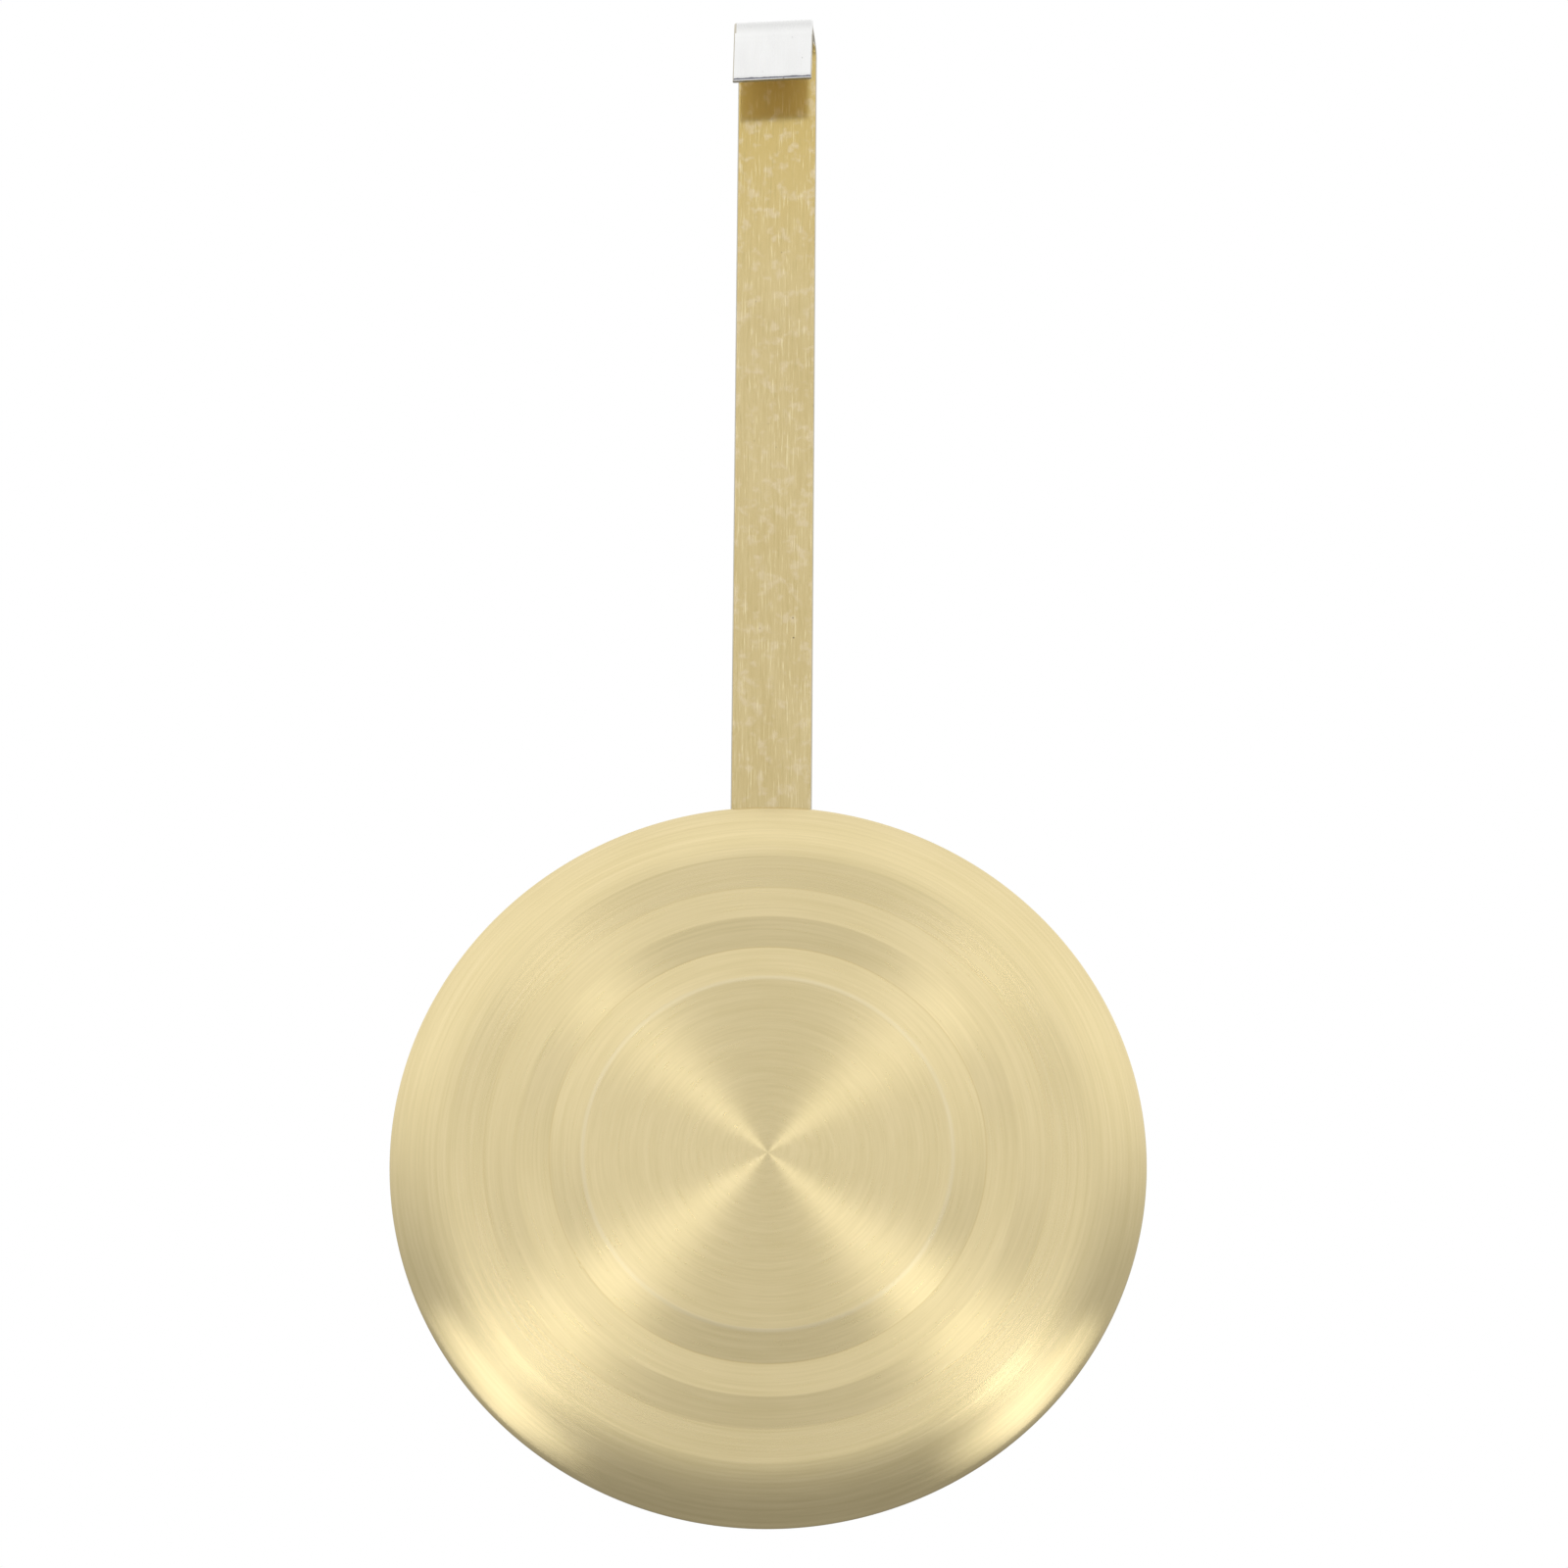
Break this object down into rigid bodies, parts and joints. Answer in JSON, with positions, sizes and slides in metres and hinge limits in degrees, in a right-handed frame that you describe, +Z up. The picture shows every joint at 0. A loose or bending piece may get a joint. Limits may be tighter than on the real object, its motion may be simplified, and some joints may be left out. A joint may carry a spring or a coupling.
{
  "type": "clock pendulum",
  "caption": "Short clock pendulum: a flat strip with a hooked top carries a spun round brass bob, raised and lowered by a rating nut behind it.",
  "frame": {"origin": "centre of the hook's bend, on the axis of the pin that the pendulum hangs from", "axes": "+Z up along the strip, +X along the hook's pin, the bob's face looks along -Y"},
  "size_m": [0.075, 0.0114, 0.162],
  "materials": {
    "spun_brass": "circular brushed, lacquered",
    "strip_brass": "brushed lengthwise, silver-coloured reverse",
    "brass_fittings": "turned",
    "steel_fittings": "bright zinc plate",
    "rivet_metal": "set, slightly polished",
    "spring_steel": "bright, blued slightly",
    "back_plate_steel": "zinc plated sheet",
    "weight_steel": "mill finish"
  },
  "bodies": {
    "rod": {"suspension_strip": "strip_brass", "screw_carrier": "brass_fittings", "carrier_rivets": "rivet_metal", "screw_lock_pin": "steel_fittings", "rating_screw": "steel_fittings", "stop_collar": "steel_fittings"},
    "bob": {"front_shell": "spun_brass", "back_plate": "back_plate_steel", "weight_disc": "weight_steel", "weight_rivets": "rivet_metal", "upper_bridge": "steel_fittings", "lower_bridge": "steel_fittings", "bridge_rivets": "rivet_metal", "brake_spring": "spring_steel", "nut_cage": "steel_fittings", "cage_rivets": "rivet_metal", "tension_washer": "spring_steel"},
    "nut": {"rating_nut": "brass_fittings"}
  },
  "joints": [
    {"name": "bob_slide", "type": "slide", "parent": "rod", "child": "bob", "axis": [0, 0, 1], "range_m": [-0.00405, 0.00405]},
    {"name": "nut_turn", "type": "hinge", "parent": "bob", "child": "nut", "pos_m": [0, 0.0045, -0.127], "axis": [0, 0, 1], "range_deg": [-3240, 3240]}
  ],
  "couplings": [
    {"joint": "nut_turn", "follows": "bob_slide", "rad_per_m": 13963}
  ]
}
